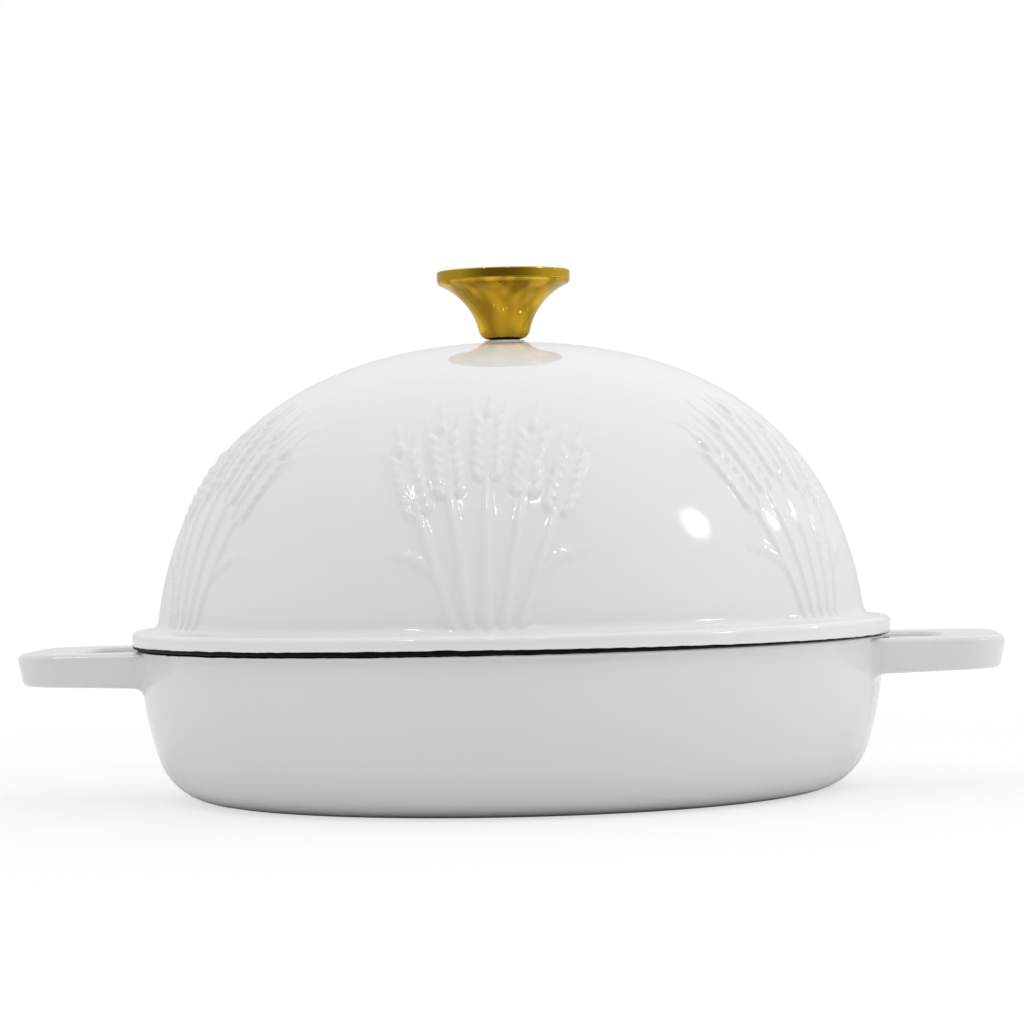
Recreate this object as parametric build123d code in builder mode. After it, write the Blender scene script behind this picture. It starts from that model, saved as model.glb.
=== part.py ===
from build123d import *
import os
from math import asin, cos, degrees, hypot, radians, sin, sqrt, tan

# A cast-iron bread cloche: a shallow pan with two loop handles, and a domed lid that sits on the pan's rim
# and carries a flared metal knob. Millimetres, +Z up, origin on the table under the middle of the pan,
# +X along the two handles.

# Overrun of a cut past the face that it opens, and how near a place counts as a match when edges are picked
overrun = 5.0
pick_width = 0.05

# Pan
pan_height = 53.0
rim_radius = 128.9
casting_wall = 4.4
wall_bow_radius = 127.5  # the wall leaves the rim upright and bows in towards the floor
pan_corner_radius = 21.4
rim_bead_width = 0.8  # of the narrow bead round the rim, as high as the handles' tops lie under it
rim_round = 0.6
foot_ring_width = 14.7  # between the wall's lower corner and the recess under the floor
foot_recess_depth = 0.8
foot_recess_round = 0.6

# Loop handles, one at each end of the X axis
handle_projection = 41.4  # from the pan's rim to the outer face
handle_drop = 0.8  # how far the top face lies under the rim
handle_thickness = 12.0  # at the pan's wall
handle_bottom_slope = 1.5  # degrees, thinner towards the tip
handle_root_half_width = 41.0
handle_tip_half_width = 37.5
handle_corner_radius = 16.0
handle_end_bow = 2.0
handle_draft = 11.0  # degrees, narrower below
handle_top_round = 2.2
handle_bottom_round = 2.2
handle_root_fillet = 5.0
side_bar_width = 13.0
end_bar_width = 22.0
gap_corner_radius = 9.0
gap_draft = 4.0  # degrees, wider below
gap_round = 1.6

# Lid casting
dome_height = 103.4  # from the rim plane to the top of the dome
dome_wall_lean_share = 0.951  # the dome's section is one cubic curve, its inner points in shares of radius
dome_wall_rise_share = 0.757  # and height
dome_crown_reach_share = 0.491
flange_overhang = 2.5  # past the pan's wall
flange_thickness = 6.0
flange_top_round = 2.0
flange_bottom_round = 1.2
dome_root_fillet = 4.3
lip_clearance = 1.2  # inside the pan's rim
lip_depth = 4.0
lip_round = 1.0
seat_radius = 7.0  # of the raised seat's flat top
seat_height = 0.7  # above the top of the dome
seat_sink = 0.4  # how deep its sloping side starts in the dome
seat_blend = 1.6
inner_pad_radius = 12.0
inner_pad_thickness = 1.2

# Relief on the dome: sheaves of wheat in low flat relief, their sizes as seen from in front of each sheaf
sheaf_count = 6
stalk_numbers = (-2, -1, 0, 1, 2)
stalk_spacing = 5.0  # at the flange
stalk_lean = 8.5  # degrees, of each stalk against the one beside it
stem_width = 2.6
stem_length = 48.0  # of the middle stalk
stem_step = 4.5  # each stalk is this much shorter than the one beside it, towards the middle
ear_length = 22.0
ear_half_width = 4.4
leaf_foot_height = 12.0
leaf_lean = 55.0  # degrees off upright
leaf_length = 24.0
leaf_outer_bow = 6.5
leaf_inner_bow = 2.5
relief_rise = 0.8

# Knob shell and its cap
foot_flat_radius = 5.5
foot_round = 3.4
neck_lean = 12.0  # degrees off upright where the flare starts
flare_radius = 23.0
flare_end_lean = 66.5  # degrees off upright where the flare meets the lip
lip_curl_radius = 1.4
shell_wall = 2.2
mouth_wall = 2.0  # of the upright lip round the cap's spigot
cap_overhang = 0.2
cap_edge_height = 3.5
cap_crown = 0.8
cap_thickness = 2.2  # at its middle
cap_round = 0.5
cap_lower_round = 0.3
spigot_depth = 1.2
spigot_wall = 2.0
spigot_clearance = 0.1

# Threaded insert pressed into the knob's neck, and the gasket under its foot
insert_radius = 4.6
insert_collar_radius = 6.2
insert_collar_height = 1.6
insert_length = 9.0
gasket_radius = 5.3
gasket_thickness = 0.4

# Screw and washers
screw_radius = 2.5
thread_clearance = 0.1
washer_clearance = 0.3
bolt_hole_clearance = 0.4
screw_end_gap = 1.2  # left free in the insert's blind thread
thread_depth = 7.6
head_radius = 4.75
head_height = 3.2
head_round = 1.5
drive_slot_length = 5.0
drive_slot_width = 1.1
drive_depth = 1.7
flat_washer_radius = 9.0
flat_washer_thickness = 1.5
lock_washer_radius = 4.5
lock_washer_thickness = 1.3
lock_washer_split = 1.0

# Radii and heights that follow
pan_inner_radius = rim_radius - casting_wall
bead_radius = rim_radius + rim_bead_width
bead_core_radius = rim_radius + rim_bead_width / 2
handle_reach = rim_radius + handle_projection
handle_top_z = pan_height - handle_drop
handle_bottom_z = handle_top_z - handle_thickness
lip_radius = pan_inner_radius - lip_clearance
dome_radius = lip_radius
dome_inner_radius = dome_radius - casting_wall
flange_radius = rim_radius + flange_overhang
flange_top_z = pan_height + flange_thickness
apex_z = pan_height + dome_height
seat_z = apex_z + seat_height
inner_pad_z = apex_z - casting_wall - inner_pad_thickness
knob_foot_z = seat_z + gasket_thickness
bolt_hole_radius = screw_radius + bolt_hole_clearance
thread_radius = screw_radius + thread_clearance
washer_hole_radius = screw_radius + washer_clearance
flat_washer_z = inner_pad_z - flat_washer_thickness
lock_washer_z = flat_washer_z - lock_washer_thickness
screw_end_z = knob_foot_z + thread_depth - screw_end_gap

# The pan's section is two tangent arcs, and its inner and outer faces share their centres
bow_centre_x = rim_radius - wall_bow_radius
centre_drop = pan_height - pan_corner_radius
centre_distance = wall_bow_radius - pan_corner_radius
corner_centre_x = bow_centre_x + sqrt(centre_distance**2 - centre_drop**2)
bow_angle = degrees(asin(centre_drop / centre_distance))
foot_recess_radius = corner_centre_x - foot_ring_width

# The knob's side is a rounded foot, a hollow flare and a curled lip, each tangent to the next
neck_radius = foot_flat_radius + foot_round * cos(radians(neck_lean))
neck_rise = foot_round * (1 - sin(radians(neck_lean)))
flare_centre_radius = neck_radius + flare_radius * cos(radians(neck_lean))
flare_centre_rise = neck_rise - flare_radius * sin(radians(neck_lean))
lip_growth = lip_curl_radius * (1 - cos(radians(flare_end_lean)))
lip_rise = lip_curl_radius * sin(radians(flare_end_lean))
knob_radius = flare_centre_radius - flare_radius * cos(radians(flare_end_lean)) + lip_growth
shell_height = flare_centre_rise + flare_radius * sin(radians(flare_end_lean)) + lip_rise
shell_top_z = knob_foot_z + shell_height

# Inside, the bell follows the flare at the shell's wall, from its floor to a step for the cap's spigot
mouth_depth = spigot_depth + spigot_clearance
bell_floor_rise = insert_length - insert_collar_height
bell_floor_z = knob_foot_z + bell_floor_rise
bell_radius = flare_radius + shell_wall
bell_floor_lean = degrees(asin((bell_floor_rise - flare_centre_rise) / bell_radius))
bell_end_lean = degrees(asin((shell_height - mouth_depth - flare_centre_rise) / bell_radius))
bell_floor_radius = flare_centre_radius - bell_radius * cos(radians(bell_floor_lean))
bell_mouth_radius = knob_radius - mouth_wall
spigot_radius = bell_mouth_radius - spigot_clearance
cap_radius = knob_radius + cap_overhang
cap_edge_z = shell_top_z + cap_edge_height
crown_radius = (cap_radius**2 + cap_crown**2) / (2 * cap_crown)


def pan_section(inset):
    """Half section of the pan's outer face moved in by inset, closed at the rim plane."""
    with BuildSketch(Plane.XZ) as section:
        with BuildLine():
            floor = Line((0, inset), (corner_centre_x, inset))
            corner = JernArc(floor @ 1, (1, 0), pan_corner_radius - inset, 90 - bow_angle)
            bow = JernArc(corner @ 1, corner % 1, wall_bow_radius - inset, bow_angle)
            Polyline(bow @ 1, (0, pan_height), floor @ 0)
        make_face()
    return section.sketch


def dome_section(radius, height):
    """Half section under a dome curve that rises from the rim plane."""
    with BuildSketch(Plane.XZ) as section:
        with BuildLine():
            base_line = Line((0, pan_height), (radius, pan_height))
            dome = Bezier(
                base_line @ 1,
                (radius * dome_wall_lean_share, pan_height + height * dome_wall_rise_share),
                (radius * dome_crown_reach_share, pan_height + height),
                (0, pan_height + height),
            )
            Line(dome @ 1, base_line @ 0)
        make_face()
    return section.sketch


def wall_radius(z):
    """Radius of the pan's outer face at the height z, on its bowed part."""
    return bow_centre_x + sqrt(wall_bow_radius**2 - (pan_height - z) ** 2)


def near(value, target):
    """True for two lengths that match."""
    return abs(value - target) < pick_width


def on_radius(point, radius):
    """True for a point at this distance from the Z axis."""
    return near(hypot(point.X, point.Y), radius)


def joins_wall(edge):
    """True for an edge where a handle's side or underside meets the pan's bowed wall."""
    middle = edge.center()
    ends_on_wall = all(on_radius(p, wall_radius(p.Z)) for p in (edge @ 0, edge @ 1))
    at_handle = handle_root_z < middle.Z < handle_top_z - pick_width
    beside_gap = gap_root_half_width - side_bar_width < abs(middle.Y) < handle_root_half_width
    return ends_on_wall and at_handle and beside_gap


def outlines_handle_top(edge):
    """True for an edge round a handle's top face, its finger gap included, but not along the rim."""
    along_rim = on_radius(edge @ 0, bead_core_radius) and on_radius(edge @ 1, bead_core_radius)
    at_top = near((edge @ 0).Z, handle_top_z) and near((edge @ 1).Z, handle_top_z)
    return at_top and not along_rim


def outlines_gap(edge):
    """True for an edge inside the outline of a handle's finger gap, as seen from above."""
    middle = edge.center()
    return abs(middle.X) < gap_end_x + pick_width and abs(middle.Y) < gap_root_half_width


def at_height(z):
    """A test for a level edge at the height z."""
    return lambda edge: near((edge @ 0).Z, z) and near(edge.center().Z, z)


# One loop handle, open at its root, as it is before it joins the pan. Its underside rises towards the tip.
handle_root_x = pan_inner_radius - overrun
handle_root_z = handle_bottom_z - rim_radius * tan(radians(handle_bottom_slope))
gap_end_x = handle_reach - end_bar_width
gap_root_half_width = handle_root_half_width - side_bar_width
gap_tip_half_width = handle_tip_half_width - side_bar_width
handle_down = Plane(origin=(0, 0, pan_height), x_dir=(1, 0, 0), z_dir=(0, 0, -1))
handle_underside = Plane(
    origin=(rim_radius, 0, handle_bottom_z),
    x_dir=(cos(radians(handle_bottom_slope)), 0, sin(radians(handle_bottom_slope))),
    z_dir=(-sin(radians(handle_bottom_slope)), 0, cos(radians(handle_bottom_slope))),
)
with BuildPart() as handle:
    with BuildSketch(handle_down):
        with BuildLine():
            side = Line(
                (handle_root_x, -handle_root_half_width),
                (handle_reach - handle_end_bow, -handle_tip_half_width),
            )
            end = ThreePointArc(
                side @ 1, (handle_reach, 0), (handle_reach - handle_end_bow, handle_tip_half_width)
            )
            Polyline(end @ 1, (handle_root_x, handle_root_half_width), side @ 0)
        make_face()
        fillet(vertices().sort_by(Axis.X)[-2:], handle_corner_radius)
    extrude(amount=pan_height - handle_root_z, taper=handle_draft)
    split(bisect_by=handle_underside, keep=Keep.TOP)
    bottom = faces().sort_by(Axis.Z)[0]
    fillet(bottom.edges().sort_by(Axis.X)[1:], handle_bottom_round)
    with BuildSketch(handle_down):
        with BuildLine():
            Polyline(
                (handle_root_x - overrun, -gap_root_half_width),
                (gap_end_x, -gap_tip_half_width),
                (gap_end_x, gap_tip_half_width),
                (handle_root_x - overrun, gap_root_half_width),
                close=True,
            )
        make_face()
        fillet(vertices().sort_by(Axis.X)[-2:], gap_corner_radius)
    extrude(amount=pan_height - handle_root_z, taper=-gap_draft, mode=Mode.SUBTRACT)
    gap_edges = edges(Select.LAST).filter_by(lambda e: e.center().Z < handle_bottom_z + gap_round)
    fillet(gap_edges.filter_by(lambda e: e.center().X > handle_root_x + pick_width), gap_round)

# Pan and handles, one casting
with BuildPart() as base:
    revolve(pan_section(0), axis=Axis.Z)
    with PolarLocations(0, 2):
        add(handle.part)
    fillet(edges().filter_by(joins_wall), handle_root_fillet)
    # The handles' tops drop below the rim, and then a narrow bead closes round it
    with BuildSketch(Plane.XY.offset(handle_top_z)):
        Circle(handle_reach + overrun)
        Circle(bead_core_radius, mode=Mode.SUBTRACT)
    extrude(amount=handle_drop + overrun, mode=Mode.SUBTRACT)
    top_edges = edges().filter_by(outlines_handle_top)
    fillet(top_edges.filter_by(outlines_gap), gap_round)
    top_edges = edges().filter_by(outlines_handle_top)
    fillet(top_edges.filter_by(outlines_gap, reverse=True), handle_top_round)
    with BuildSketch(Plane.XY.offset(handle_top_z)):
        Circle(bead_radius)
    extrude(amount=handle_drop)
    revolve(pan_section(casting_wall), axis=Axis.Z, mode=Mode.SUBTRACT)
    fillet(faces().sort_by(Axis.Z)[-1].edges(), rim_round)
    # The foot is a broad ring round a shallow recess
    with BuildSketch(Plane.XY):
        Circle(foot_recess_radius)
    extrude(amount=foot_recess_depth, mode=Mode.SUBTRACT)
    fillet(edges(Select.LAST).group_by(Axis.Z)[-1], foot_recess_round)
base.part.label = "base"


def lens(length, left_bow, right_bow):
    """A pointed outline from the origin up +Y, its sides bowed out to the left and to the right."""
    with BuildSketch() as outline:
        with BuildLine():
            side = ThreePointArc((0, 0), (-left_bow, length / 2), (0, length))
            ThreePointArc(side @ 1, (right_bow, length / 2), (0, 0))
        make_face()
    return outline.sketch


def stalk(number):
    """Outline of a stalk and its ear, placed as seen from in front of the sheaf."""
    length = stem_length - abs(number) * stem_step
    with BuildSketch() as outline:
        with Locations(Location((number * stalk_spacing, flange_top_z), (0, 0, -number * stalk_lean))):
            Rectangle(stem_width, length + stem_width, align=(Align.CENTER, Align.MIN))
            with Locations((0, length)):
                add(lens(ear_length, ear_half_width, ear_half_width))
    return outline.sketch


def leaf():
    """Outline of the leaf that bends out from the last stalk on the right."""
    last = stalk_numbers[-1]
    foot_x = last * stalk_spacing + leaf_foot_height * tan(radians(last * stalk_lean))
    with BuildSketch() as outline:
        with Locations(Location((foot_x, flange_top_z + leaf_foot_height), (0, 0, -leaf_lean))):
            add(lens(leaf_length, leaf_outer_bow, -leaf_inner_bow))
    return outline.sketch


# One sheaf of the relief, at the front: its outline, cut out of a dome that is larger by the relief's rise.
# The stalks start inside the round between dome and flange and rise out of it.
with BuildPart() as sheaf:
    with BuildSketch(Plane.XZ):
        for number in stalk_numbers:
            add(stalk(number))
        add(leaf())
        mirror(leaf(), about=Plane.YZ)
    extrude(amount=dome_radius + overrun)
    relief_section = dome_section(dome_radius + relief_rise, dome_height + relief_rise)
    revolve(relief_section, axis=Axis.Z, mode=Mode.INTERSECT)

# Lid casting: dome, flange, relief, locating lip, the seat for the knob and the pad for its screw
with BuildPart() as lid:
    revolve(dome_section(dome_radius, dome_height), axis=Axis.Z)
    with BuildSketch(Plane.XY.offset(pan_height)):
        Circle(flange_radius)
    extrude(amount=flange_thickness)
    flange_edges = edges().filter_by(at_height(flange_top_z)).sort_by(SortBy.LENGTH)
    fillet(flange_edges[0], dome_root_fillet)
    fillet(flange_edges[-1], flange_top_round)
    fillet(edges().group_by(Axis.Z)[0], flange_bottom_round)
    with PolarLocations(0, sheaf_count):
        add(sheaf.part)
    with BuildSketch(Plane.XY.offset(pan_height)):
        Circle(lip_radius)
    extrude(amount=-lip_depth)
    with BuildSketch(Plane.XY.offset(pan_height)):
        Circle(dome_inner_radius)
    extrude(amount=-lip_depth, mode=Mode.SUBTRACT)
    revolve(
        dome_section(dome_inner_radius, dome_height - casting_wall), axis=Axis.Z, mode=Mode.SUBTRACT
    )
    fillet(edges().group_by(Axis.Z)[0], lip_round)
    with BuildSketch(Plane.XY.offset(apex_z - seat_sink)):
        Circle(seat_radius + seat_sink + seat_height)
    extrude(amount=seat_sink + seat_height, taper=45)
    seat_side = faces().sort_by(Axis.Z)[-2]
    fillet(seat_side.edges().sort_by(Axis.Z)[0], seat_blend)
    with BuildSketch(Plane.XY.offset(inner_pad_z)):
        Circle(inner_pad_radius)
    extrude(amount=inner_pad_thickness + casting_wall / 2, taper=-45)
    with Locations((0, 0, seat_z)):
        Hole(bolt_hole_radius)
lid.part.label = "lid"

# Knob: a flared shell
with BuildPart() as knob_body:
    with BuildSketch(Plane.XZ):
        with BuildLine():
            foot = Line((0, knob_foot_z), (foot_flat_radius, knob_foot_z))
            curl = JernArc(foot @ 1, (1, 0), foot_round, 90 - neck_lean)
            flare = JernArc(curl @ 1, curl % 1, flare_radius, neck_lean - flare_end_lean)
            lip = JernArc(flare @ 1, flare % 1, lip_curl_radius, flare_end_lean)
            Polyline(lip @ 1, (0, shell_top_z), foot @ 0)
        make_face()
    revolve(axis=Axis.Z)
    with BuildSketch(Plane.XZ):
        with BuildLine():
            floor = Line((0, bell_floor_z), (bell_floor_radius, bell_floor_z))
            heading = (sin(radians(bell_floor_lean)), cos(radians(bell_floor_lean)))
            bell = JernArc(floor @ 1, heading, bell_radius, bell_floor_lean - bell_end_lean)
            Polyline(
                bell @ 1,
                (bell_mouth_radius, shell_top_z - mouth_depth),
                (bell_mouth_radius, shell_top_z + overrun),
                (0, shell_top_z + overrun),
                floor @ 0,
            )
        make_face()
    revolve(axis=Axis.Z, mode=Mode.SUBTRACT)
    with Locations((0, 0, bell_floor_z)):
        Hole(insert_radius)
knob_body.part.label = "knob_body"

# Knob: the slightly crowned cap, its spigot in the shell's mouth
with BuildPart() as knob_top:
    with BuildSketch(Plane.XZ):
        with BuildLine():
            crown_turn = degrees(asin(cap_radius / crown_radius))
            crown = JernArc((0, cap_edge_z + cap_crown), (1, 0), crown_radius, -crown_turn)
            Polyline(
                crown @ 1,
                (cap_radius, shell_top_z),
                (spigot_radius, shell_top_z),
                (spigot_radius, shell_top_z - spigot_depth),
                (spigot_radius - spigot_wall, shell_top_z - spigot_depth),
                (spigot_radius - spigot_wall, cap_edge_z + cap_crown - cap_thickness),
                (0, cap_edge_z + cap_crown - cap_thickness),
                crown @ 0,
            )
        make_face()
        fillet(vertices().group_by(Axis.X)[-1].sort_by(Axis.Y)[0], cap_lower_round)
        fillet(vertices().group_by(Axis.X)[-1].sort_by(Axis.Y)[-1], cap_round)
    revolve(axis=Axis.Z)
knob_top.part.label = "knob_top"

# Knob: the threaded insert that the screw pulls down, a collar over the bell's floor
with BuildPart() as knob_insert:
    with BuildSketch(Plane.XY.offset(knob_foot_z)):
        Circle(insert_radius)
    extrude(amount=insert_length)
    with BuildSketch(Plane.XY.offset(bell_floor_z)):
        Circle(insert_collar_radius)
    extrude(amount=insert_collar_height)
    with Locations(Location((0, 0, knob_foot_z), (180, 0, 0))):
        Hole(thread_radius, depth=thread_depth)
knob_insert.part.label = "knob_insert"


def washer(bottom_z, radius, hole_radius, thickness):
    """A flat ring on the Z axis."""
    with BuildPart() as ring:
        with BuildSketch(Plane.XY.offset(bottom_z)):
            Circle(radius)
            Circle(hole_radius, mode=Mode.SUBTRACT)
        extrude(amount=thickness)
    return ring


knob_gasket = washer(seat_z, gasket_radius, bolt_hole_radius, gasket_thickness)
knob_gasket.part.label = "knob_gasket"

flat_washer = washer(flat_washer_z, flat_washer_radius, washer_hole_radius, flat_washer_thickness)
flat_washer.part.label = "flat_washer"

# Split lock washer under the screw's head
with BuildPart() as lock_washer:
    with BuildSketch(Plane.XY.offset(lock_washer_z)):
        Circle(lock_washer_radius)
        Circle(washer_hole_radius, mode=Mode.SUBTRACT)
        with Locations((lock_washer_radius, 0)):
            Rectangle(2 * lock_washer_radius, lock_washer_split, mode=Mode.SUBTRACT)
    extrude(amount=lock_washer_thickness)
lock_washer.part.label = "lock_washer"

# Pan-head screw, driven from inside the dome up into the insert
with BuildPart() as knob_screw:
    with BuildSketch(Plane.XY.offset(lock_washer_z)):
        Circle(head_radius)
    extrude(amount=-head_height)
    fillet(edges().group_by(Axis.Z)[0], head_round)
    with BuildSketch(Plane.XY.offset(lock_washer_z - head_height)):
        Rectangle(drive_slot_length, drive_slot_width)
        Rectangle(drive_slot_width, drive_slot_length)
    extrude(amount=drive_depth, mode=Mode.SUBTRACT)
    with BuildSketch(Plane.XY.offset(lock_washer_z)):
        Circle(screw_radius)
    extrude(amount=screw_end_z - lock_washer_z)
knob_screw.part.label = "knob_screw"

os.makedirs("parts", exist_ok=True)
export_step(base.part, "parts/base.step")
export_step(lid.part, "parts/lid.step")
export_step(knob_body.part, "parts/knob_body.step")
export_step(knob_top.part, "parts/knob_top.step")
export_step(knob_insert.part, "parts/knob_insert.step")
export_step(knob_gasket.part, "parts/knob_gasket.step")
export_step(flat_washer.part, "parts/flat_washer.step")
export_step(lock_washer.part, "parts/lock_washer.step")
export_step(knob_screw.part, "parts/knob_screw.step")
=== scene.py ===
from math import atan2, cos, degrees, hypot, pi, radians, sin

import bpy
import numpy as np
from mathutils import Matrix, Vector


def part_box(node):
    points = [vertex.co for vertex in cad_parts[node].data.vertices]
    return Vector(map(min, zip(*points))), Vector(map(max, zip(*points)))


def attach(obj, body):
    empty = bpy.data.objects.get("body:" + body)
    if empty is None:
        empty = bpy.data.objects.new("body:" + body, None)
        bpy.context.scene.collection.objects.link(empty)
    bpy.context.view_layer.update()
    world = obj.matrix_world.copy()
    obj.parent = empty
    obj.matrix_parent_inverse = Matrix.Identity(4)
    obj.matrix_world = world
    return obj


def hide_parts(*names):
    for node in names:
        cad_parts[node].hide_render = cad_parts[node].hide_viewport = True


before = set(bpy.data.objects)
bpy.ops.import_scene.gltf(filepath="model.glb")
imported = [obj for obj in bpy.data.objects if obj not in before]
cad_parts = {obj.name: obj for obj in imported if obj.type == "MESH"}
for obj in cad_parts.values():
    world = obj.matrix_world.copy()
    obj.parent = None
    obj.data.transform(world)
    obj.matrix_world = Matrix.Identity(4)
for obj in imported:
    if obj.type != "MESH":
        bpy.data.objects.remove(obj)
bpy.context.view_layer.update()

# The looks of a cast-iron bread cloche: enamel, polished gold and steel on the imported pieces, and a lid whose
# dome carries sheaves of wheat in low relief. Metres, +Z up, +X along the handles, the front towards -Y.

mm = 0.001

# Read from the frame
rim_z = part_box("base")[1].z
flange_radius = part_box("lid")[1].x
lip_bottom_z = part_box("lid")[0].z
seat_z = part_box("lid")[1].z

# The lid casting's other sizes
casting_wall = 4.4 * mm
dome_radius = 123.3 * mm
dome_height = 103.4 * mm
dome_wall_lean_share = 0.951
dome_wall_rise_share = 0.757
dome_crown_reach_share = 0.491
flange_thickness = 6.0 * mm
flange_top_round = 2.0 * mm
flange_bottom_round = 1.2 * mm
dome_root_fillet = 4.3 * mm
lip_round = 1.0 * mm
seat_radius = 7.0 * mm
seat_blend = 1.6 * mm
seat_tangent_step = 0.02  # of t, back along the dome from the seat's blend
bolt_hole_radius = 2.9 * mm
bolt_hole_round = 0.25 * mm
inner_pad_radius = 12.0 * mm
inner_pad_drop = 1.2 * mm
dome_inner_radius = dome_radius - casting_wall
dome_inner_height = dome_height - casting_wall
flange_top_z = rim_z + flange_thickness

# Wheat relief, with sizes as seen from in front of each sheaf: stalks and ears that fan out from the flange,
# and a leaf on each side
sheaf_count = 6
sheaf_turn = 360 / sheaf_count
stalk_numbers = (-2, -1, 0, 1, 2)
stalk_spacing = 5.0 * mm
stalk_lean = 8.5
stem_half_width = 1.5 * mm
stem_length = 48.0 * mm
stem_step = 4.5 * mm
stem_rise = 0.9 * mm
ear_length = 22.0 * mm
ear_half_width = 4.4 * mm
ear_rise = 0.5 * mm
grain_rows = 6
grain_pitch = 3.3 * mm
grain_half_length = 3.0 * mm
grain_half_width = 1.6 * mm
grain_offset = 1.9 * mm
grain_splay = 28.0
grain_rise = 1.4 * mm
grain_taper = 0.3
awn_length = 7.0 * mm
awn_half_width = 0.9 * mm
awn_rise = 0.45 * mm
awn_splay = 9.0
awn_fade_power = 3
awned_rows = 3
leaf_foot_height = 12.0 * mm
leaf_lean = 55.0
leaf_length = 24.0 * mm
leaf_outer_bow = 6.5 * mm
leaf_inner_bow = 2.5 * mm
leaf_rise = 0.8 * mm
leaf_vein_half_width = 0.7 * mm
leaf_vein_depth = 0.35 * mm
leaf_vein_from = leaf_rise / 3
relief_top = stem_length + ear_length + awn_length
least_half_width = 0.001 * mm
blend_power = 4

# How a form falls off to its sides: the lower the power, the fuller the form
strip_power = 1.3
stem_power = 0.6  # on the strip's
ear_power = 0.7
leaf_power = 0.8
grain_power = 0.9

# Mesh steps of the lid. Every fifth column of a sheaf goes on outside the relief.
relief_step = 0.78 * mm
stem_rows_step = 1.4 * mm
stem_rows_height = 36.0 * mm
relief_half_turn = 19.2
plain_step = 4.0 * mm
plain_turn = 2.0
coarse_every = 5
round_steps = 6
fillet_steps = 12
hole_round_steps = 3
section_samples = 400  # on a dome's section, to space its rows evenly
bisection_steps = 50

# Enamel: how white it is, the pan's white set darker than the lid's as painted shade on the same enamel, and
# where its black ends at the seam and on the pan's rim
lid_white = 0.87
# the same enamel as the lid, darkened as painted shade
pan_white_painted_shade = 0.80
bead_radius = 129.75 * mm
pan_black_edge = 0.35 * mm  # below the rim
pan_black_tilt = 0.0035  # higher on the right
lid_black_edge = 1.55 * mm  # above the rim
lid_black_tilt = -0.008  # lower on the right
lid_black_limit = 1.68 * mm  # above the rim, with the pan's tilt: lower than the edge on the left
edge_wander = 0.14 * mm
pan_inner_limit = 128.8 * mm
pan_foot_limit = 2.0 * mm

# Colours of the materials
white_fade = (0.015, 0.015, 0.017)  # taken off the white in its darker patches
black_ground, black_specks = (0.003, 0.003, 0.0032), (0.016, 0.016, 0.017)
# the knob's gold runs between these two in streaks: random tone, partly painted reflection streaks
gold_deep, gold_pale = (0.38, 0.222, 0.007), (0.78, 0.472, 0.031)
gold_edge_tint = (0.8, 0.74, 0.55, 1)
steel_light, steel_dark = (0.60, 0.60, 0.60), (0.54, 0.54, 0.55)
rubber_dark, rubber_light = (0.018, 0.018, 0.018), (0.024, 0.024, 0.024)

# Room, how bright it looks beside white, and the floor
room_level = 0.585
room_overhead = 0.47  # more straight up
room_behind = 0.14  # more behind the object
room_front_share = 0.30  # what is left of it behind the camera
floor_half_size = 6.0
floor_colour = (0.95, 0.95, 0.95, 1)
floor_near, floor_far = 0.20, 0.60
floor_near_whiteness = 0.65

# Lamps: direction from the middle of the rim, size across and up, glow beside white, distance
from_right = (0.786, -0.209, 0.553)
lamps = {
    "side_haze": (from_right, (0.30, 0.33), 1.6, 1.62),
    "side_lamp": (from_right, (0.24, 0.26), 4.5, 1.61),
    "side_spot": (from_right, (0.10, 0.12), 45.0, 1.6),
    "back_spot": ((0.85, 0.31, 0.42), (0.05, 0.12), 40.0, 1.6),
    "front_lamp": ((0.147, -0.57, 0.809), (0.10, 0.14), 24.0, 1.6),
    "middle_spot": ((-0.04, -0.66, 0.75), (0.05, 0.12), 36.0, 1.6),
    "left_spot": ((-0.2, -0.6, 0.77), (0.05, 0.12), 36.0, 1.6),
    "left_lamp": ((-0.36, -0.44, 0.82), (0.07, 0.22), 24.0, 1.6),
}

# Camera, fitted to the photograph
picture_pixels = 1024
focal_pixels = 3441.9
sensor_width = 36.0  # millimetres, as Blender gives it
camera_distance = 1200 * mm
camera_height = rim_z + 44.3 * mm
camera_side_step = 1.2 * mm
camera_azimuth = 3.4
camera_roll = 1.3


# Lid profile: points (radius, height) and the tools that make them

def arc(centre, radius, start, end, steps=round_steps):
    """Points on an arc, its angles in degrees from the radial direction."""
    turns = [radians(start + (end - start) * i / steps) for i in range(steps + 1)]
    return [(centre[0] + radius * cos(a), centre[1] + radius * sin(a)) for a in turns]


def dome_point(radius, height, t):
    """A point on the dome's section, from the rim plane at t = 0 to the axis at t = 1."""
    a, b, c = (1 - t) ** 3, 3 * t * (1 - t) ** 2, 3 * t**2 * (1 - t)
    reach = radius * (a + b * dome_wall_lean_share + c * dome_crown_reach_share)
    rise = height * (b * dome_wall_rise_share + c + t**3)
    return reach, rim_z + rise


def outer_dome(t):
    return dome_point(dome_radius, dome_height, t)


def inner_dome(t):
    return dome_point(dome_inner_radius, dome_inner_height, t)


def outer_normal(t, step=1e-4):
    """Outward unit normal of the dome's outer section."""
    before, after = outer_dome(t - step), outer_dome(t + step)
    along = (after[0] - before[0], after[1] - before[1])
    length = hypot(*along)
    return along[1] / length, -along[0] / length


def solve(test, low, high):
    """The value between low and high at which the rising test turns positive."""
    for _ in range(bisection_steps):
        middle = (low + high) / 2
        low, high = (low, middle) if test(middle) > 0 else (middle, high)
    return low


def dome_run(dome, start, end, step):
    """Points on a dome's section between two values of t, evenly spaced, without the last."""
    ts = np.linspace(start, end, section_samples)
    points = np.array([dome(t) for t in ts])
    lengths = np.concatenate([[0], np.cumsum(np.hypot(*np.diff(points, axis=0).T))])
    count = max(2, round(lengths[-1] / step))
    wanted = np.linspace(0, lengths[-1], count + 1)[:-1]
    return [dome(t) for t in np.interp(wanted, lengths, ts)]


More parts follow.
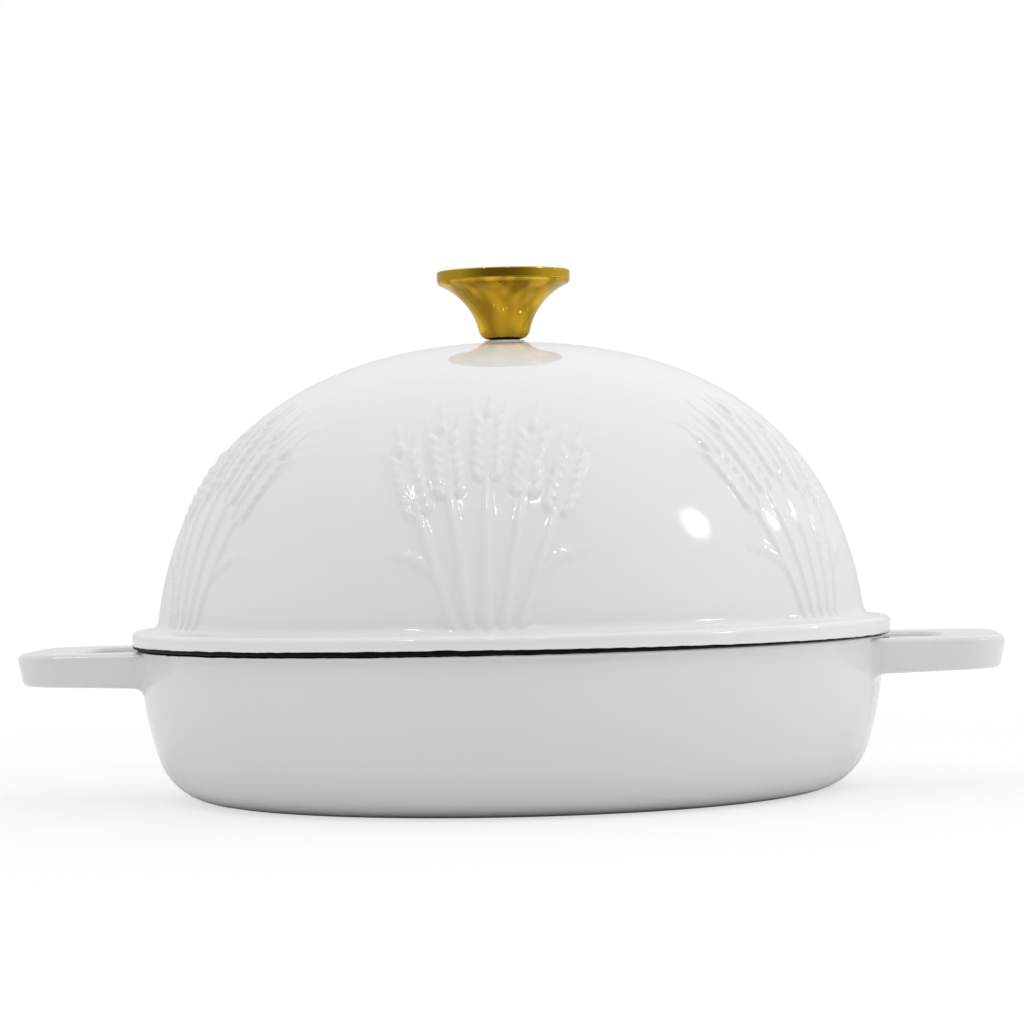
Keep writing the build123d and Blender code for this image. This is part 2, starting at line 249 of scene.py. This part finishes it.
def straight(start, end, step):
    """Points on a line, without the last."""
    count = max(1, round(hypot(end[0] - start[0], end[1] - start[1]) / step))
    return [tuple(a + (b - a) * i / count for a, b in zip(start, end)) for i in range(count)]


def corner(before, at, after, radius, steps=round_steps):
    """Points of a round that replaces the corner at a point between two straight lines."""
    to_before = (Vector(before) - Vector(at)).normalized()
    to_after = (Vector(after) - Vector(at)).normalized()
    half = to_before.angle(to_after) / 2
    centre = Vector(at) + (to_before + to_after).normalized() * (radius / sin(half))
    reach = radius * cos(half) / sin(half)
    first = Vector(at) + to_before * reach - centre
    last = Vector(at) + to_after * reach - centre
    start, end = atan2(first.y, first.x), atan2(last.y, last.x)
    end = start + (end - start + pi) % (2 * pi) - pi
    return arc(centre, radius, degrees(start), degrees(end), steps)


def root_fillet():
    """Points of the round from the flange up to the dome, how far off the dome they lie, and its t there."""
    root_z = flange_top_z + dome_root_fillet

    def over_root(t):
        return outer_dome(t)[1] + dome_root_fillet * outer_normal(t)[1] - root_z

    t_root = solve(over_root, 0, 0.5)
    foot, normal = outer_dome(t_root), outer_normal(t_root)
    centre = (foot[0] + dome_root_fillet * normal[0], root_z)
    top_angle = degrees(atan2(normal[1], normal[0])) + 180
    points = arc(centre, dome_root_fillet, 270, top_angle, fillet_steps)[:-1]
    lifts = []
    for x, z in points:
        toward_dome = (centre[0] - x) * normal[0] + (centre[1] - z) * normal[1]
        lifts.append(dome_root_fillet - toward_dome)
    return points, lifts, t_root


def dome_rows(t_root):
    """Points up the dome as far as the relief goes, and from there to the edge of the hole in the seat."""
    t_relief = solve(lambda t: outer_dome(t)[1] - flange_top_z - relief_top, t_root, 1)
    t_seat = solve(lambda t: seat_radius + seat_z - outer_dome(t)[1] - outer_dome(t)[0], t_relief, 1)
    seat_foot, seat_edge = outer_dome(t_seat), (seat_radius, seat_z)
    blend = corner(outer_dome(t_seat - seat_tangent_step), seat_foot, seat_edge, seat_blend)
    t_blend = solve(lambda t: blend[0][0] - outer_dome(t)[0], t_relief, t_seat)
    t_ears = solve(lambda t: outer_dome(t)[1] - flange_top_z - stem_rows_height, t_root, t_relief)
    relief = dome_run(outer_dome, t_root, t_ears, stem_rows_step)
    relief += dome_run(outer_dome, t_ears, t_relief, relief_step)
    plain = dome_run(outer_dome, t_relief, t_blend, plain_step)
    hole_edge = (bolt_hole_radius, seat_z)
    seat = blend + corner(seat_foot, seat_edge, hole_edge, bolt_hole_round, hole_round_steps)
    return relief, plain + seat


def inner_rows():
    """Points of the black face: from the hole down the pad and the dome, and over the lip to the flange."""
    lip_outer = (dome_radius - lip_round, lip_bottom_z + lip_round)
    lip_inner = (dome_inner_radius + lip_round, lip_bottom_z + lip_round)
    pad_z = rim_z + dome_inner_height - inner_pad_drop
    t_pad = solve(lambda t: inner_pad_radius + inner_dome(t)[1] - pad_z - inner_dome(t)[0], 0.3, 1)
    points = straight((flange_radius - flange_bottom_round, rim_z), (dome_radius, rim_z), plain_step)[1:]
    points += straight((dome_radius, rim_z), (dome_radius, lip_outer[1]), plain_step)
    points += arc(lip_outer, lip_round, 0, -90) + arc(lip_inner, lip_round, -90, -180)
    points += dome_run(inner_dome, 0, t_pad, plain_step)
    points += [inner_dome(t_pad)]
    points += straight((inner_pad_radius, pad_z), (bolt_hole_radius, pad_z), plain_step)
    points += [(bolt_hole_radius, pad_z)]
    return points[::-1]


def flange_rows(fillet_start):
    """Points from the flange's underside up its side and in along its top."""
    bottom_centre = (flange_radius - flange_bottom_round, rim_z + flange_bottom_round)
    top_centre = (flange_radius - flange_top_round, flange_top_z - flange_top_round)
    points = arc(bottom_centre, flange_bottom_round, -90, 0) + arc(top_centre, flange_top_round, 0, 90)
    return points + straight((top_centre[0], flange_top_z), fillet_start, plain_step)[1:]


# Wheat relief: heights over (across, up), seen from in front of the sheaf, up from the flange's top

def soft(distance, half_width, power=strip_power):
    """1 on the middle line, falling gently to 0 at half_width."""
    return np.clip(1 - (distance / half_width) ** 2, 0, None) ** power


def towards(start, lean, length):
    """The point at a length from start, leaning to the right by so many degrees from straight up."""
    return start[0] + length * sin(radians(lean)), start[1] + length * cos(radians(lean))


def turned(across, up, foot, lean):
    """Places measured to the right of a leaning line and along it from its foot."""
    a, b = across - foot[0], up - foot[1]
    return a * cos(radians(lean)) - b * sin(radians(lean)), a * sin(radians(lean)) + b * cos(radians(lean))


def bow_over(along, length, bow):
    """Height of a flat arc over its chord, and none beside it."""
    radius = (length**2 / 4 + bow**2) / (2 * bow)
    inside = np.clip(radius**2 - (along - length / 2) ** 2, 0, None)
    return np.clip(np.sqrt(inside) - radius + bow, 0, None) * (along > 0) * (along < length)


def strip(across, up, foot, lean, length, half_width):
    """1 along the middle of a straight strip, falling to 0 at its sides and round its ends."""
    beside, along = turned(across, up, foot, lean)
    past_end = np.clip(along - length, 0, None) + np.clip(-along, 0, None)
    return soft(np.hypot(beside, past_end), half_width)


def grain(across, up, foot, lean):
    """Height of one pointed grain that rises from its foot."""
    beside, along = turned(across, up, foot, lean)
    along = along / grain_half_length - 1
    beside = beside / grain_half_width / (1 - grain_taper * np.clip(along, -1, 1))
    return grain_rise * soft(np.hypot(along, beside), 1, grain_power)


def awn(across, up, foot, lean):
    """Height of a bristle that thins out towards its end."""
    along = turned(across, up, foot, lean)[1]
    fade = 1 - np.clip(along / awn_length, 0, 1) ** awn_fade_power
    return awn_rise * strip(across, up, foot, lean, awn_length, awn_half_width) * fade


def ear(across, up, foot, lean):
    """Heights of an ear: its body, two rows of grains, one at the tip, and the awns over them."""
    beside, along = turned(across, up, foot, lean)
    half_width = bow_over(along, ear_length, ear_half_width)
    layers = [ear_rise * soft(beside, np.maximum(half_width, least_half_width), ear_power)]
    for row in range(grain_rows):
        middle = towards(foot, lean, row * grain_pitch)
        for side in (-1, 1):
            start = towards(middle, lean + 90, side * grain_offset)
            layers.append(grain(across, up, start, lean + side * grain_splay))
            if row >= grain_rows - awned_rows:
                tip = towards(start, lean + side * grain_splay, 2 * grain_half_length)
                layers.append(awn(across, up, tip, lean + side * awn_splay))
    top = towards(foot, lean, grain_rows * grain_pitch)
    layers.append(grain(across, up, top, lean))
    layers.append(awn(across, up, towards(top, lean, 2 * grain_half_length), lean))
    return layers


def leaf(across, up):
    """Height of the leaf with a sunk vein that bends out from the last stalk on the right."""
    last = stalk_numbers[-1]
    lean = last * stalk_lean
    foot = towards((last * stalk_spacing, 0), lean, leaf_foot_height / cos(radians(lean)))
    beside, along = turned(across, up, foot, leaf_lean)
    outer = bow_over(along, leaf_length, leaf_outer_bow)
    inner = bow_over(along, leaf_length, leaf_inner_bow)
    from_middle = -beside - (outer + inner) / 2
    half_width = np.maximum((outer - inner) / 2, least_half_width)
    height = leaf_rise * soft(from_middle, half_width, leaf_power)
    vein = leaf_vein_depth * soft(from_middle, leaf_vein_half_width) * (height > leaf_vein_from)
    return height - vein


def sheaf(across, up):
    """Height of the relief at places across and up from the middle of a sheaf's foot."""
    layers = [leaf(across, up), leaf(-across, up)]
    for number in stalk_numbers:
        lean = number * stalk_lean
        start = (number * stalk_spacing, 0)
        length = stem_length - abs(number) * stem_step
        stem = strip(across, up, start, lean, length, stem_half_width)
        layers.append(stem_rise * stem**stem_power)
        layers += ear(across, up, towards(start, lean, length), lean)
    return sum(layer**blend_power for layer in layers) ** (1 / blend_power)


# Materials

def node_adder(tree):
    """A helper that adds a node to a tree, with values or links on its inputs."""
    def add(kind, inputs=None, **settings):
        node = tree.nodes.new("ShaderNode" + kind)
        for key, value in settings.items():
            setattr(node, key, value)
        for key, value in (inputs or {}).items():
            if isinstance(value, bpy.types.NodeSocket):
                tree.links.new(value, node.inputs[key])
            else:
                node.inputs[key].default_value = value
        return node

    return add


def new_material(name):
    """An empty node material and the helper that adds nodes to it."""
    material = bpy.data.materials.new(name)
    material.use_nodes = True
    material.node_tree.nodes.clear()
    return material, node_adder(material.node_tree)


def math_node(add, operation, *values):
    return add("Math", dict(enumerate(values)), operation=operation).outputs[0]


def noise(add, place, scale, detail=2.0):
    return add("TexNoise", {"Vector": place, "Scale": scale, "Detail": detail}).outputs["Fac"]


def ramp(add, value, low, high, low_out=0.0, high_out=1.0):
    """Maps low..high to low_out..high_out and holds it outside."""
    return add("MapRange", {0: value, 1: low, 2: high, 3: low_out, 4: high_out}).outputs[0]


def blend_colours(add, share, first, second):
    return add("Mix", {0: share, 6: (*first, 1), 7: (*second, 1)}, data_type="RGBA").outputs[2]


def bump(add, height, strength, distance, before=None):
    inputs = {"Height": height, "Strength": strength, "Distance": distance}
    if before:
        inputs["Normal"] = before
    return add("Bump", inputs).outputs[0]


def white_glaze(add, place, white):
    """Glossy white enamel, very slightly wavy, over a casting."""
    skin = bump(add, noise(add, place, 55.0, detail=1.0), strength=0.18, distance=0.0004)
    tone = ramp(add, noise(add, place, 18.0, detail=3.0), 0.3, 0.7)
    colour = blend_colours(add, tone, (white,) * 3, [white - fade for fade in white_fade])
    gloss = ramp(add, noise(add, place, 260.0), 0.35, 0.65, low_out=0.05, high_out=0.08)
    return add("BsdfPrincipled", {"Base Color": colour, "Roughness": gloss, "Normal": skin}).outputs[0]


def black_glaze(add, place):
    """Matte black enamel with a fine grain."""
    skin = bump(add, noise(add, place, 2600.0, detail=3.0), strength=0.35, distance=0.0002)
    specks = ramp(add, noise(add, place, 3800.0, detail=1.0), 0.70, 0.76)
    colour = blend_colours(add, specks, black_ground, black_specks)
    gloss = ramp(add, noise(add, place, 900.0), 0.3, 0.7, low_out=0.42, high_out=0.56)
    inputs = {"Base Color": colour, "Roughness": gloss, "Normal": skin, "Specular IOR Level": 0.05}
    return add("BsdfPrincipled", inputs).outputs[0]


def finish_two_tone(add, place, white, black_share):
    """White enamel with black where the share is 1."""
    shaders = {1: white_glaze(add, place, white), 2: black_glaze(add, place)}
    surface = add("MixShader", {0: black_share, **shaders})
    add("OutputMaterial", {"Surface": surface.outputs[0]})


def wandering_edge(add, place, x, middle, tilt):
    """Height of an edge of black enamel, which wanders a little and is higher on one side."""
    wander = ramp(add, noise(add, place, 190.0), 0.25, 0.75, -edge_wander, edge_wander)
    return math_node(add, "ADD", math_node(add, "MULTIPLY_ADD", x, tilt, middle), wander)


def pan_enamel():
    """White outside, darker than the lid's white as painted shade, black inside and over the rim."""
    material, add = new_material("pan_enamel")
    place = add("TexCoord").outputs["Object"]
    x, y, z = add("SeparateXYZ", {0: place}).outputs
    nx, ny, nz = add("SeparateXYZ", {0: add("NewGeometry").outputs["Normal"]}).outputs
    radius = math_node(add, "SQRT", math_node(add, "MULTIPLY_ADD", x, x, math_node(add, "MULTIPLY", y, y)))
    outward = math_node(add, "MULTIPLY_ADD", x, nx, math_node(add, "MULTIPLY", y, ny))
    outward = math_node(add, "DIVIDE", outward, radius)
    faces_in = math_node(add, "GREATER_THAN", math_node(add, "SUBTRACT", nz, outward), 0.0)
    within = math_node(add, "LESS_THAN", radius, pan_inner_limit)
    above_foot = math_node(add, "GREATER_THAN", z, pan_foot_limit)
    inside = math_node(add, "MULTIPLY", math_node(add, "MULTIPLY", faces_in, within), above_foot)
    edge = wandering_edge(add, place, x, rim_z - pan_black_edge, pan_black_tilt)
    at_rim = math_node(add, "LESS_THAN", radius, bead_radius)
    on_rim = math_node(add, "MULTIPLY", math_node(add, "GREATER_THAN", z, edge), at_rim)
    # the pan takes a darker white than the lid: painted shade, as both are the same enamel
    finish_two_tone(add, place, pan_white_painted_shade, math_node(add, "MAXIMUM", inside, on_rim))
    return material


def lid_enamel():
    """White outside, black below an edge just above the seam."""
    material, add = new_material("lid_enamel")
    place = add("TexCoord").outputs["Object"]
    x, y, z = add("SeparateXYZ", {0: place}).outputs
    edge = wandering_edge(add, place, x, rim_z + lid_black_edge, lid_black_tilt)
    limit = wandering_edge(add, place, x, rim_z + lid_black_limit, pan_black_tilt)
    lower = math_node(add, "MINIMUM", edge, limit)
    finish_two_tone(add, place, lid_white, math_node(add, "LESS_THAN", z, lower))
    return material


def inner_enamel():
    """Matte black inside the lid."""
    material, add = new_material("inner_enamel")
    place = add("TexCoord").outputs["Object"]
    add("OutputMaterial", {"Surface": black_glaze(add, place)})
    return material


def polished_gold(name, wave_scale, wave_height, streak_scale):
    """Gold plating over turned and polished metal, slightly wavy, with paler and deeper streaks: random tone in
    the plating, partly painted reflection streaks.
    """
    material, add = new_material(name)
    place = add("TexCoord").outputs["Object"]
    turned_lines = add("Mapping", {"Vector": place, "Scale": (60, 60, 3600)}).outputs[0]
    skin = bump(add, noise(add, turned_lines, 1.0), strength=0.04, distance=0.00004)
    waves = add("Mapping", {"Vector": place, "Scale": wave_scale}).outputs[0]
    skin = bump(add, noise(add, waves, 1.0, detail=1.0), 0.5, wave_height, skin)
    gloss = ramp(add, noise(add, place, 420.0, detail=3.0), 0.3, 0.7, low_out=0.04, high_out=0.07)
    painted_reflection_streaks = add("Mapping", {"Vector": place, "Scale": streak_scale}).outputs[0]
    # paler and deeper streaks of the colour, partly painted reflection streaks
    tone = ramp(add, noise(add, painted_reflection_streaks, 1.0, detail=1.0), 0.36, 0.64)
    colour = blend_colours(add, tone, gold_deep, gold_pale)
    inputs = {"Base Color": colour, "Metallic": 1.0, "Roughness": gloss, "Normal": skin}
    inputs |= {"Specular Tint": gold_edge_tint, "Coat Weight": 0.2, "Coat Roughness": 0.03}
    add("OutputMaterial", {"Surface": add("BsdfPrincipled", inputs).outputs[0]})
    return material


def plain_steel():
    """Turned stainless steel of the screw, washers and insert."""
    material, add = new_material("plain_steel")
    place = add("TexCoord").outputs["Object"]
    turned_lines = add("Mapping", {"Vector": place, "Scale": (200, 200, 5200)}).outputs[0]
    lines = noise(add, turned_lines, 1.0, detail=3.0)
    skin = bump(add, lines, strength=0.2, distance=0.00005)
    gloss = ramp(add, lines, 0.3, 0.7, low_out=0.22, high_out=0.36)
    tone = ramp(add, noise(add, place, 500.0), 0.3, 0.7)
    colour = blend_colours(add, tone, steel_light, steel_dark)
    inputs = {"Base Color": colour, "Metallic": 1.0, "Roughness": gloss, "Normal": skin}
    add("OutputMaterial", {"Surface": add("BsdfPrincipled", inputs).outputs[0]})
    return material


def black_rubber():
    """Matte silicone of the gasket."""
    material, add = new_material("black_rubber")
    place = add("TexCoord").outputs["Object"]
    fine = noise(add, place, 3000.0)
    skin = bump(add, fine, strength=0.3, distance=0.00005)
    gloss = ramp(add, fine, 0.3, 0.7, low_out=0.55, high_out=0.7)
    colour = blend_colours(add, fine, rubber_dark, rubber_light)
    inputs = {"Base Color": colour, "Roughness": gloss, "Normal": skin}
    add("OutputMaterial", {"Surface": add("BsdfPrincipled", inputs).outputs[0]})
    return material


# Lid

def columns():
    """Turns of the lid's columns, close together over each sheaf, and which of them go on up to the hole."""
    arc_length = radians(2 * relief_half_turn) * dome_radius
    fine_count = coarse_every * round(arc_length / relief_step / coarse_every)
    plain_count = round((sheaf_turn - 2 * relief_half_turn) / plain_turn)
    fine = np.linspace(-relief_half_turn, relief_half_turn, fine_count + 1)[:-1]
    plain = np.linspace(relief_half_turn, sheaf_turn - relief_half_turn, plain_count + 1)[:-1]
    one = np.concatenate([fine, plain])
    turns = np.concatenate([one + number * sheaf_turn for number in range(sheaf_count)])
    in_sheaf = np.arange(len(turns)) % len(one)
    marks = np.flatnonzero((in_sheaf >= fine_count) | (in_sheaf % coarse_every == 0)).tolist()
    return np.radians(turns), marks


def relief_heights(rows, lifts, turns):
    """How far each relief row stands out at each turn. A stem rises out of the round once it is over it."""
    rows, lifts = np.array(rows), np.array(lifts)
    half_turn = radians(sheaf_turn / 2)
    from_sheaf = (turns + half_turn) % (2 * half_turn) - half_turn
    across = rows[:, 0:1] * np.sin(from_sheaf)
    up = np.repeat(rows[:, 1:2] - flange_top_z, len(turns), axis=1)
    return np.clip(sheaf(across, up) - lifts[:, None], 0, None)


def ring_points(rows, turns, marks, heights):
    """Vertices of each row, moved out by its heights. Rows after the relief have them at the marks alone."""
    rows = np.array(rows)
    along = np.roll(rows, -1, axis=0) - np.roll(rows, 1, axis=0)
    along /= np.hypot(*along.T)[:, None]
    rings = []
    for number, ((radius, z), (out, down)) in enumerate(zip(rows, along[:, ::-1])):
        if number < len(heights):
            height, angle = heights[number], turns
        else:
            height, angle = 0, turns[marks]
        reach = radius + out * height
        level = z - down * height + 0 * angle
        rings.append(np.stack([reach * np.sin(angle), -reach * np.cos(angle), level], axis=1))
    return rings


def ring_faces(rings, marks):
    """Faces between each row and the next, the last row's next being the first, one list for each row."""
    starts = np.cumsum([0] + [len(ring) for ring in rings])
    fine = max(len(ring) for ring in rings)
    every = list(range(fine))

    def stretch(row, steps, number):
        """A row's vertices from one step to the next."""
        first, last = steps[number], (steps + [fine])[number + 1]
        if len(rings[row]) == fine:
            picked = [c % fine for c in range(first, last + 1)]
        else:
            picked = [number, (number + 1) % len(marks)]
        return [int(starts[row]) + c for c in picked]

    faces = []
    for row in range(len(rings)):
        above = (row + 1) % len(rings)
        steps = every if len(rings[row]) == len(rings[above]) == fine else marks
        faces.append([stretch(row, steps, n) + stretch(above, steps, n)[::-1] for n in range(len(steps))])
    return faces


def make_lid():
    """The lid's casting with its relief, white outside and black inside."""
    fillet, lifts, t_root = root_fillet()
    relief, crown = dome_rows(t_root)
    inner = inner_rows()
    # one loop of rows: up the round and the dome to the hole, down inside, and over the flange
    rows = fillet + relief + crown + inner + flange_rows(fillet[0])
    turns, marks = columns()
    heights = relief_heights(fillet + relief, lifts + [0] * len(relief), turns)
    rings = ring_points(rows, turns, marks, heights)
    faces = ring_faces(rings, marks)

    mesh = bpy.data.meshes.new("lid_casting")
    mesh.from_pydata(np.concatenate(rings).tolist(), [], [face for ring in faces for face in ring])
    mesh.polygons.foreach_set("use_smooth", [True] * len(mesh.polygons))
    inner_start = len(fillet) + len(relief) + len(crown)
    inner_faces = range(inner_start, inner_start + len(inner))
    black = [int(row in inner_faces) for row, ring in enumerate(faces) for _ in ring]
    mesh.polygons.foreach_set("material_index", black)
    mesh.materials.append(lid_enamel())
    mesh.materials.append(inner_enamel())
    mesh.update()
    lid = bpy.data.objects.new("lid_casting", mesh)
    bpy.context.scene.collection.objects.link(lid)
    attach(lid, "lid")
    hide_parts("lid")


make_lid()


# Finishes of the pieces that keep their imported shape

def dress(node, material):
    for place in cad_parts[node].material_slots:
        place.material = material


# on the knob's side the waves and the paler and deeper streaks, partly painted reflection streaks, run up and
# down, and its cap is more even
side_gold = polished_gold("polished_gold", (230, 230, 34), 0.0007, (150, 150, 26))
cap_gold = polished_gold("polished_gold_cap", (120, 120, 120), 0.0004, (16, 16, 16))
steel = plain_steel()
dress("base", pan_enamel())
dress("knob_body", side_gold)
dress("knob_top", cap_gold)
dress("knob_insert", steel)
dress("flat_washer", steel)
dress("lock_washer", steel)
dress("knob_screw", steel)
dress("knob_gasket", black_rubber())


# Studio

def seen_directly(add):
    """1 where the camera looks, also through glass."""
    path = add("LightPath")
    return math_node(add, "MAXIMUM", path.outputs["Is Camera Ray"], path.outputs["Is Transmission Ray"])


def make_floor():
    """A pale floor that keeps the object's soft shadow and fades to white."""
    half = floor_half_size
    mesh = bpy.data.meshes.new("studio_floor")
    corners = [(-half, -half, 0), (half, -half, 0), (half, half, 0), (-half, half, 0)]
    mesh.from_pydata(corners, [], [(0, 1, 2, 3)])
    material, add = new_material("studio_floor")
    place = add("TexCoord").outputs["Object"]
    distance = add("VectorMath", {0: place}, operation="LENGTH").outputs["Value"]
    whiteness = ramp(add, distance, floor_near, floor_far, low_out=floor_near_whiteness)
    lit = add("BsdfDiffuse", {"Color": floor_colour}).outputs[0]
    glow = add("Emission", {"Color": (1, 1, 1, 1), "Strength": 1.0}).outputs[0]
    share = math_node(add, "MULTIPLY", seen_directly(add), whiteness)
    add("OutputMaterial", {"Surface": add("MixShader", {0: share, 1: lit, 2: glow}).outputs[0]})
    mesh.materials.append(material)
    floor = bpy.data.objects.new("studio_floor", mesh)
    bpy.context.scene.collection.objects.link(floor)


def make_world():
    """A pale room, brighter overhead and behind the object, darker behind the camera, white to look at."""
    world = bpy.data.worlds.new("studio")
    bpy.context.scene.world = world
    world.use_nodes = True
    world.node_tree.nodes.clear()
    add = node_adder(world.node_tree)
    direction = add("TexCoord").outputs["Generated"]
    x, y, z = add("SeparateXYZ", {0: direction}).outputs
    overhead = ramp(add, z, 0.0, 0.9)
    front = ramp(add, math_node(add, "MULTIPLY", y, -1.0), 0.2, 0.95)
    back = ramp(add, y, 0.0, 0.8)
    level = math_node(add, "MULTIPLY_ADD", overhead, room_overhead, room_level)
    level = math_node(add, "MULTIPLY_ADD", back, room_behind, level)
    share = ramp(add, front, 0.0, 1.0, low_out=1.0, high_out=room_front_share)
    level = math_node(add, "MULTIPLY", level, share)
    strength = add("Mix", {0: seen_directly(add), 2: level, 3: 1.0}, data_type="FLOAT").outputs[0]
    background = add("Background", {"Color": (1, 1, 1, 1), "Strength": strength}).outputs[0]
    add("OutputWorld", {"Surface": background})


def make_lamp(name, direction, size, glow, distance):
    """A soft oval lamp that looks as bright as glow times white."""
    data = bpy.data.lights.new(name, "AREA")
    data.shape = "ELLIPSE"
    data.size, data.size_y = size
    data.energy = glow * pi * pi * size[0] * size[1] / 4
    lamp = bpy.data.objects.new(name, data)
    lamp.location = Vector(direction).normalized() * distance + Vector((0, 0, rim_z))
    lamp.rotation_euler = Vector(direction).to_track_quat("Z", "Y").to_euler()
    bpy.context.scene.collection.objects.link(lamp)


def make_camera():
    """The photograph's view: level, slightly rolled, and a little to the right of the front."""
    data = bpy.data.cameras.new("camera")
    data.sensor_width = sensor_width
    data.lens = focal_pixels * sensor_width / picture_pixels
    camera = bpy.data.objects.new("camera", data)
    turn = Matrix.Rotation(radians(camera_azimuth), 4, "Z")
    place = turn @ Vector((camera_side_step, -camera_distance, 0)) + Vector((0, 0, camera_height))
    look = turn @ Matrix.Rotation(radians(90), 4, "X") @ Matrix.Rotation(radians(-camera_roll), 4, "Z")
    camera.matrix_world = Matrix.Translation(place) @ look
    bpy.context.scene.collection.objects.link(camera)
    bpy.context.scene.camera = camera


make_floor()
make_world()
for lamp_name, values in lamps.items():
    make_lamp(lamp_name, *values)
make_camera()
bpy.context.scene.view_settings.view_transform = "Standard"
